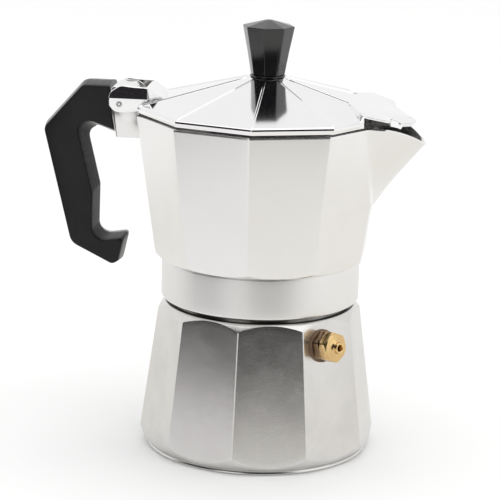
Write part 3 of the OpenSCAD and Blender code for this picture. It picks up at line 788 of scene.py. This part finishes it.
def lid_row(R, rib=1.0, q=None, pull=0.0, inset=0.0, drop=0.0):
    """A row of the lid at corner radius R; q runs 0 to 1 over the cover's widening part."""
    pts = []
    cs = {k: np.array([LX + R * math.cos(rad(18 + 36 * k)), R * math.sin(rad(18 + 36 * k)), l_z(R + inset) - drop]) for k in range(10)}
    z0 = l_z(R + inset) - drop
    e1 = np.array([LX + E1R * math.cos(rad(-18)), E1R * math.sin(rad(-18))])
    if q is None or q <= 0:
        foot = top = cs[9][:2]
        zf = zt = z0
        spread = 0.0
    else:
        foot, top = e1 + q * (FOOT - e1), e1 + q * (TOPC - e1)
        if inset:
            shrink = 1 - inset * 0.028
            foot, top = foot * shrink, top * shrink
        nrm = np.array([math.cos(rad(-36)), math.sin(rad(-36))])
        dd = float((foot - np.array([LX, 0])) @ nrm)
        zf = LE + (LR * math.cos(rad(18)) - dd) * ROOF - drop - (inset * SL if inset else 0)
        zt = roof(top[0]) - 0.2 * sstep(0.55, 1.0, q) - drop - (inset * 0.0)
        spread = sstep(0.0, 0.35, q)

    def mirror(p):
        return np.array([p[0], -p[1], p[2]])

    # near half of the cover: from the E corner to the middle, seen in order of angle
    e_pts = []
    d_dir = cs[8][:2] - foot
    d_dir = d_dir / np.linalg.norm(d_dir)
    f_dir = np.array([0.0, 1.0]) if spread == 0 else (out_point(0.08)[0] - TOPC) * spread + np.array([0.0, 1.0]) * (1 - spread)
    f_dir = f_dir / np.linalg.norm(f_dir)
    for o, h in RIB:
        if o < 0:
            base, z, w = foot + d_dir * abs(o) * (0.4 if spread > 0.5 else 1.0), zf, 0
            if abs(o) < 0.2:
                base, z = lerp(foot, top, 0.06 * spread) + d_dir * abs(o) * (1 - spread), lerp(zf, zt, 0.10 * spread)
        else:
            base, z, w = top + f_dir * abs(o) * (0.5 if spread > 0.5 else 1.0), zt, 1
            if abs(o) < 0.2:
                base, z = lerp(foot, top, 1 - 0.06 * spread) + f_dir * abs(o) * (1 - spread), lerp(zf, zt, 1 - 0.08 * spread)
        e_pts.append(np.array([base[0], base[1], z + h * rib * (1 - sstep(0.0, 0.5, q or 0.0))]))
    mid = []
    start = e_pts[-1]
    xm0 = LX + R * math.cos(rad(18))
    for i in range(1, N_HALF + 1):
        f = i / N_HALF
        if q is None or q <= 0:
            x, y = start[0], start[1] * (1 - f)
            z = start[2] if inset or drop or True else 0
            z = zt
            x = xm0
        else:
            o, droop = out_point(0.02 + 0.98 * f)
            if inset:
                o = np.array([o[0] - inset * 1.0 * (0.7 + 0.9 * f), o[1] * (1 - inset * 0.075)])
            a = np.array([LX + E1R * math.cos(rad(18)), e1[1] * (1 - f)])
            p = a + (o - a) * q
            x, y = p
            z = roof(x) - droop * sstep(0.6, 1.0, q) * sstep(0.0, 1.0, q) - drop
        mid.append(np.array([x, y, z]))
    # order: F corner (0) .. E corner (9), then the cover back to F
    near = e_pts + mid[:-1]
    tip = mid[-1]
    for k in range(1, 9):
        c, a, b = cs[k], cs[k - 1], cs[(k + 1)]
        if k == 1:
            a = np.array([foot[0], -foot[1], zf])
        if k == 8:
            b = np.array([foot[0], foot[1], zf])
        ua, ub = (a - c)[:2] / np.linalg.norm((a - c)[:2]), (b - c)[:2] / np.linalg.norm((b - c)[:2])
        for o, h in RIB:
            d = ua * -o if o < 0 else ub * o
            pts.append(np.array([c[0] + d[0], c[1] + d[1], c[2] + h * rib]))
        if k < 8:
            nxt = cs[k + 1]
            un = (c - nxt)[:2] / np.linalg.norm((c - nxt)[:2])
            p0, p1 = pts[-1], np.array([nxt[0] + un[0] * 0.8, nxt[1] + un[1] * 0.8, nxt[2]])
        else:
            p0, p1 = pts[-1], e_pts[0]
        for i in range(1, SIDE):
            pts.append(p0 + (p1 - p0) * i / SIDE)
    pts += near
    pts.append(tip)
    pts += [mirror(p) for p in reversed(near)]
    p0, p1 = pts[-1], pts[0]
    for i in range(1, SIDE):
        pts.append(p0 + (p1 - p0) * i / SIDE)
    return np.array(pts)


rows = []
l_ref = lid_row(20.0, 0.0)
l_th = np.arctan2(l_ref[:, 1], l_ref[:, 0] - LX)


def lrow(r, z):
    p = polar(r, z, l_th)
    p[:, 0] += LX
    return p


LTOP = l_z(6.0)
rows = [lrow(1.7, LTOP - 0.1), lrow(1.85, LTOP), lrow(4.6, LTOP)]
for R in (6.0, 6.6, 7.2, 8.0, 9.0, 12, 16, 20, 24, 28, 30, 31.2):
    rows.append(lid_row(R, sstep(6.3, 8.6, R)))
qs = [0.0, 0.04, 0.1, 0.18, 0.27, 0.36, 0.45, 0.54, 0.63, 0.71, 0.78, 0.84, 0.89, 0.93, 0.96, 0.985]
for q in qs:
    R = E1R + (46.45 - E1R) * q
    row = lid_row(R, 1.0 - sstep(45.6, 46.5, R), q)
    rows.append(row)
last = lid_row(LR, 0.0, 1.0)
n_l = len(last)
# outward direction in plan, from the finished outline
dirs = []
for i in range(n_l):
    t = last[(i + 1) % n_l][:2] - last[i - 1][:2]
    t = t / max(1e-9, np.linalg.norm(t))
    dirs.append(np.array([t[1], -t[0]]))
dirs = np.array(dirs)
for _ in range(2):
    dirs = (np.roll(dirs, 1, 0) + dirs * 2 + np.roll(dirs, -1, 0)) / 4
dirs /= np.linalg.norm(dirs, axis=1)[:, None]
cover = np.array([p[0] > 36.95 and abs(p[1]) < 25.4 for p in last])
zbot = np.full(n_l, 124.15)
for i, p in enumerate(last):
    if cover[i]:
        zbot[i] = 93.3 + math.sqrt(max(0.0, 30.78 ** 2 - max(0.0, p[0] - 38.0) ** 2)) if p[0] < 50.3 else p[2] - 1.25
        zbot[i] = min(zbot[i], p[2] - 1.2)


def edge(d, dz, ref_z):
    return np.array([[last[i][0] - dirs[i][0] * d, last[i][1] - dirs[i][1] * d, ref_z[i] + dz] for i in range(n_l)])


top_z = last[:, 2]
rows.append(edge(0.42, 0.0, top_z + 0.06 * (~cover)))
rows.append(edge(0.2, -0.07, top_z))
rows.append(edge(0.05, -0.24, top_z))
rows.append(edge(0.0, -0.55, top_z))
low = np.minimum(top_z - 0.8, zbot + 0.5)


def spout_half(x):
    return max(0.0, 22.9 * (1 - (x - 38.2) / 21.0))


# under the roof the cover's wall leans in to the edge of the spout
under = np.zeros((n_l, 2))
for i, p in enumerate(last):
    under[i] = p[:2] - dirs[i] * 0.45
    if cover[i]:
        side = np.array([p[0], math.copysign(min(abs(p[1]) - 0.4, spout_half(p[0]) + 0.45), p[1])]) if abs(p[1]) > 0.5 else under[i]
        under[i] = lerp(side, under[i], sstep(49.5, 51.5, p[0]))


def skirt(d, z, plain):
    """Cover: d mm inside the wall's foot at height z. Elsewhere: the plain row."""
    out = plain.copy()
    for i in range(n_l):
        if cover[i]:
            out[i] = (*(under[i] - dirs[i] * d), z[i])
    return out


mid_row = edge(0.0, -0.9, top_z)
foot_row = skirt(0.0, zbot + 0.25, edge(0.3, 0.3, zbot))
for i in range(n_l):
    if cover[i]:
        mid_row[i] = (last[i][0] - dirs[i][0] * 0.3, last[i][1] - dirs[i][1] * 0.3, top_z[i] - 0.62)
half_row = np.where(cover[:, None], lerp(mid_row, foot_row, 0.5), edge(0.16, 0.0, lerp(top_z - 0.9, zbot + 0.3, 0.5)))
rows += [mid_row, half_row, foot_row, skirt(0.08, zbot + 0.08, edge(0.36, 0.1, zbot)), skirt(0.25, zbot, edge(0.5, 0.0, zbot)),
         skirt(0.6, zbot, edge(0.95, 0.0, zbot)), skirt(0.8, zbot + 0.15, edge(1.2, 0.15, zbot)),
         skirt(0.9, np.maximum(top_z - 1.5, zbot + 0.2), edge(1.3, -1.5, np.maximum(top_z, zbot + 1.7)))]
limit = [abs(under[i][1] - dirs[i][1] * 0.9) for i in range(n_l)]
for j, q in enumerate((0.93, 0.84, 0.7, 0.5, 0.3, 0.12, 0.02)):
    r = lid_row(E1R + (45.0 - E1R) * q, 0.0, q, inset=1.3, drop=1.2)
    for i in range(n_l):
        if cover[i] and abs(r[i][1]) > limit[i] * (0.99 - 0.02 * j):
            r[i][1] = math.copysign(limit[i] * (0.99 - 0.02 * j), r[i][1])
    rows.append(r)
for R in (29, 24, 18, 12, 8, 6):
    rows.append(lid_row(R, 0.0, None, inset=0.0, drop=1.3))
rows += [lrow(4.6, LTOP - 1.3), lrow(1.9, LTOP - 1.3), lrow(1.7, LTOP - 1.15)]
# shallow round dimple near the end of the cover
for r in rows[:-24]:
    for p in r:
        d = math.hypot(p[0] - 52.1, p[1] + 0.0)
        if d < 1.5 and p[2] > 122.5:
            p[2] -= 0.55 * (1 - sstep(0.5, 1.5, d))
s = Soup()
s.loft(rows, loop=True)
lid = build("lid_cover", s.v, s.f, M["lid"], "lid", ["lid"], angle=20, weld=1e-6)
# faces of the cover's wall under the roof take the near-black painted-shade material
lid.data.materials.append(M["skirt"])
for f in lid.data.polygons:
    x, y, z = (c / MM for c in f.center)
    if 37.5 < x < 49.8 and abs(y) > spout_half(x) + 0.2 and z < roof(x) - 0.7 and f.normal.x + math.copysign(f.normal.y, y * f.normal.y) > 0.2 and f.normal.z < 0.3:
        f.material_index = 1

# hinge fork on the lid
fork = rounded([(-41.3, 132.35, 0.5), (-47, 132.55, 3), (-51.2, 132.9, 3.5), (-54.9, 130.6, 3.0), (-55.4, 126.2, 3.2), (-53.2, 123.5, 3.0),
                (-50.2, 123.2, 2.0), (-43.2, 124.1, 0), (-41.0, 124.1, 0), (-41.0, 127.4, 0.3)], 8)
fork = [p for i, p in enumerate(fork) if np.linalg.norm(p - fork[i - 1]) > 0.02]
s = Soup()
for sgn in (-1, 1):
    sg = 1 if area(fork) > 0 else -1
    rr = []
    for y, d in ((7.9, 0.12), (8.0, 0.0), (9.95, 0.0), (10.12, 0.1), (10.2, 0.3)):
        q = inset_line(fork, sg * d) if d else fork
        rr.append(np.array([[p[0], sgn * y, p[1]] for p in q]))
    s.loft(rr)
# bridge between the arms, with the ramp down to the lid
bridge = [(-42.4, 127.0), (-42.4, 131.8), (-42.1, 132.1), (-41.5, 132.15), (-40.9, 131.9), (-35.6, 128.7), (-36, 126.9)]
s.prism(bridge, -8.5, 8.5)
fork_ob = build("lid_hinge_fork", s.v, s.f, M["fork"], "lid", (), angle=14)
CREASE, LEAN = 128.35 * MM, 0.42
bm = bmesh.new()
bm.from_mesh(fork_ob.data)
bmesh.ops.bisect_plane(bm, geom=bm.verts[:] + bm.edges[:] + bm.faces[:], plane_co=(0, 0, CREASE), plane_no=(0, 0, 1), dist=1e-7)
for v in bm.verts:
    if abs(v.co.y) > 0.0099 and v.co.z > CREASE:
        v.co.y -= math.copysign(LEAN * (v.co.z - CREASE), v.co.y)
bm.to_mesh(fork_ob.data)
bm.free()
fork_ob.data.set_sharp_from_angle(angle=rad(14))

# hinge pin with a rolled groove and a centre mark in each end
pin_lo = min((NODES["hinge_pin"].matrix_world @ Vector(c)).y for c in NODES["hinge_pin"].bound_box) / MM
pin_hi = max((NODES["hinge_pin"].matrix_world @ Vector(c)).y for c in NODES["hinge_pin"].bound_box) / MM
prof = [(0.12, 0.42), (0.34, 0.36), (0.46, 0.08), (0.56, 0.0), (0.68, 0.02), (0.74, 0.12), (0.78, 0.42), (0.9, 0.42), (0.94, 0.14), (1.0, 0.04), (1.06, 0.1), (1.1, 0.22)]
p_th = np.array([2 * math.pi * i / 40 for i in range(40)])


def pin_row(r, y):
    return np.stack([-51.3 + r * np.cos(p_th), np.full(40, float(y)), 126.3 + r * np.sin(p_th)], 1)


s = Soup()
s.loft([pin_row(r, pin_lo + d) for r, d in prof] + [pin_row(1.1, y) for y in (-6, 0, 6)] + [pin_row(r, pin_hi - d) for r, d in reversed(prof)],
       caps=((-51.3, pin_lo + 0.5, 126.3), (-51.3, pin_hi - 0.5, 126.3)))
build("hinge_pin_rolled", s.v, s.f, M["pin"], "jug", ["hinge_pin"], angle=30)

# ----------------------------------------------------------------------- knob
KT = -3.6
rows = []
for R, z in ((5.5, 137.85), (6.05, 137.86), (6.2, 138.0), (6.24, 138.2), (6.8, 141.5), (7.6, 146), (8.5, 150.5), (9.28, 154.4), (9.4, 155.0), (9.36, 155.18), (9.2, 155.34),
             (7.0, 155.92), (4.0, 156.7), (1.5, 157.32), (0.9, 157.44)):
    p = polygon_ring(R, 8, KT, min(0.22, R * 0.1), 5, 3, z)
    p[:, 0] += LX
    rows.append(p)
s = Soup()
s.loft(rows, caps=(True, (LX, 0, 157.48)))
build("knob_grip", s.v, s.f, M["knob"], "lid", ["lid_knob"], angle=16)
k_th = np.array([2 * math.pi * i / 64 for i in range(64)])
rows = []
for r, z in ((1.72, 137.16), (6.1, 137.15), (6.34, 137.22), (6.42, 137.42), (6.36, 137.62), (6.15, 137.74), (1.72, 137.78)):
    p = polar(r, z, k_th)
    p[:, 0] += LX
    rows.append(p)
s = Soup()
s.loft(rows, loop=True)
build("knob_ring", s.v, s.f, M["knob"], "lid", ["knob_washer"], angle=40)

# ------------------------------------------------- CAD nodes that stay in view
for names, key in ((("funnel_basket", "funnel_stem", "funnel_screen", "filter_plate"), "spun"), (("coffee_column",), "jug"),
                   (("valve_plunger",), "brass"), (("valve_spring", "handle_screw", "knob_screw"), "steel"),
                   (("gasket",), "silicone"), (("valve_washer",), "fibre")):
    for n in names:
        o = NODES[n]
        o.data.materials.clear()
        o.data.materials.append(M[key])
        o.data.shade_smooth()
        o.data.set_sharp_from_angle(angle=rad(28))

# ------------------------------------------------------- floor, light, camera
k = Nodes("studio_floor")
k.b.inputs["Specular IOR Level"].default_value = 0.1
k.link(k.mix(k.maprange(k.noise(3.0, 2.0), 0.3, 0.7, 0.0, 1.0), (0.93, 0.93, 0.93), (0.95, 0.95, 0.945)), k.b.inputs["Base Color"])
k.link(k.maprange(k.noise(40.0, 3.0), 0.3, 0.7, 0.7, 0.8), k.b.inputs["Roughness"])
floor = build("studio_floor", [(-4000, -4000, -0.02), (4000, -4000, -0.02), (4000, 4000, -0.02), (-4000, 4000, -0.02)], [(0, 1, 2, 3)], k.m, None)

# dark surround in front of the pot, seen only in reflections
k = Nodes("dark_surround")
k.b.inputs["Roughness"].default_value = 1.0
k.b.inputs["Specular IOR Level"].default_value = 0.0
k.link(k.mix(k.noise(4.0), (0.012, 0.011, 0.014), (0.03, 0.028, 0.03)), k.b.inputs["Base Color"])
def card(name, a0, a1, radius, z0, z1, steps=24):
    v, f = [], []
    for i in range(steps + 1):
        a = rad(lerp(a0, a1, i / steps))
        v += [(radius * math.cos(a), radius * math.sin(a), z0), (radius * math.cos(a), radius * math.sin(a), z1)]
    for i in range(steps):
        f.append((2 * i, 2 * i + 2, 2 * i + 3, 2 * i + 1))
    glossy_only(build(name, v, f, k.m, None))


def glossy_only(o):
    for a in ("visible_camera", "visible_diffuse", "visible_shadow", "visible_transmission", "visible_volume_scatter"):
        setattr(o, a, False)


card("dark_surround_right", -96, -48, 330.0, 1.0, 420.0)
card("dark_surround_left", -168, -122, 330.0, 5.0, 420.0)
card("dark_surround_high", -134, -66, 330.0, 150.0, 760.0)

# tone of the table top round the pot, seen only in reflections
k = Nodes("table_tone")
k.t.nodes.remove(k.b)
em = k.new("ShaderNodeEmission")
k.link(em.outputs[0], k.out.inputs[0])
sp = k.new("ShaderNodeSeparateXYZ")
k.link(k.obj, sp.inputs[0])
turn = k.maprange(k.math("ARCTAN2", sp.outputs["Y"], sp.outputs["X"]), -math.pi, math.pi, 0.0, 1.0)
ramp = k.new("ShaderNodeValToRGB")
TONES = [(-180, (0.93, 0.92, 0.88)), (-150, (0.98, 0.965, 0.97)), (-118, (0.99, 0.975, 0.98)), (-96, (0.96, 0.945, 0.91)), (-60, (0.97, 0.955, 0.92)),
         (-30, (0.975, 0.96, 0.94)), (12, (0.95, 0.93, 0.88)), (60, (0.97, 0.96, 0.94)), (120, (0.94, 0.93, 0.91)), (180, (0.93, 0.92, 0.88))]
cr = ramp.color_ramp
while len(cr.elements) < len(TONES):
    cr.elements.new(0.5)
for e, (a, c) in zip(cr.elements, TONES):
    e.position = (a + 180) / 360.0
for e, (a, c) in zip(cr.elements, TONES):
    e.color = (*c, 1.0)
k.link(turn, ramp.inputs[0])
k.link(ramp.outputs[0], em.inputs[0])
em.inputs[1].default_value = 1.0
v, f = [], []
for i in range(64):
    a = 2 * math.pi * i / 64
    v += [(62 * math.cos(a), 62 * math.sin(a), 0.1), (326 * math.cos(a), 326 * math.sin(a), 0.1)]
for i in range(64):
    j = (i + 1) % 64
    f.append((2 * i, 2 * i + 1, 2 * j + 1, 2 * j))
glossy_only(build("table_tone", v, f, k.m, None))

w = bpy.data.worlds.new("studio")
scene.world = w
w.use_nodes = True
bg = w.node_tree.nodes["Background"]
bg.inputs[0].default_value = (1.0, 1.0, 1.0, 1)
bg.inputs[1].default_value = 1.0


def area_light(name, loc, aim, size, power, color=(1, 1, 1)):
    d = bpy.data.lights.new(name, "AREA")
    d.shape = "RECTANGLE"
    d.size, d.size_y = size
    d.energy = power
    d.color = color
    o = bpy.data.objects.new(name, d)
    scene.collection.objects.link(o)
    o.location = loc
    o.rotation_euler = (Vector(aim) - Vector(loc)).to_track_quat("-Z", "Y").to_euler()
    return o


area_light("soft_top", (0.1, -0.1, 1.3), (0, 0, 0.05), (1.4, 1.4), 3.4)
area_light("soft_right", (1.1, -0.35, 0.55), (0, 0, 0.08), (0.7, 0.9), 0.5, (1.0, 0.99, 0.97))

AZ, EL, DIST, ROLL = rad(6.374), rad(14.102), 0.826857, rad(1.415)
back = Vector((math.sin(AZ) * math.cos(EL), -math.cos(AZ) * math.cos(EL), math.sin(EL)))
right = Vector((math.cos(AZ), math.sin(AZ), 0))
upv = back.cross(right)
target = Vector((0, 0, 0.072571)) + right * -0.003975
r2 = right * math.cos(ROLL) + upv * math.sin(ROLL)
u2 = upv * math.cos(ROLL) - right * math.sin(ROLL)
cam_data = bpy.data.cameras.new("camera")
cam = bpy.data.objects.new("camera", cam_data)
scene.collection.objects.link(cam)
cam_data.sensor_width = 36.0
cam_data.lens = 36.0 * 2261.7 / 500.0
cam_data.clip_start, cam_data.clip_end = 0.01, 50
from mathutils import Matrix
mtx = Matrix((r2, u2, back)).transposed().to_4x4()
mtx.translation = target + back * DIST
cam.matrix_world = mtx
scene.camera = cam
scene.view_settings.view_transform = "Standard"
scene.view_settings.look = "None"
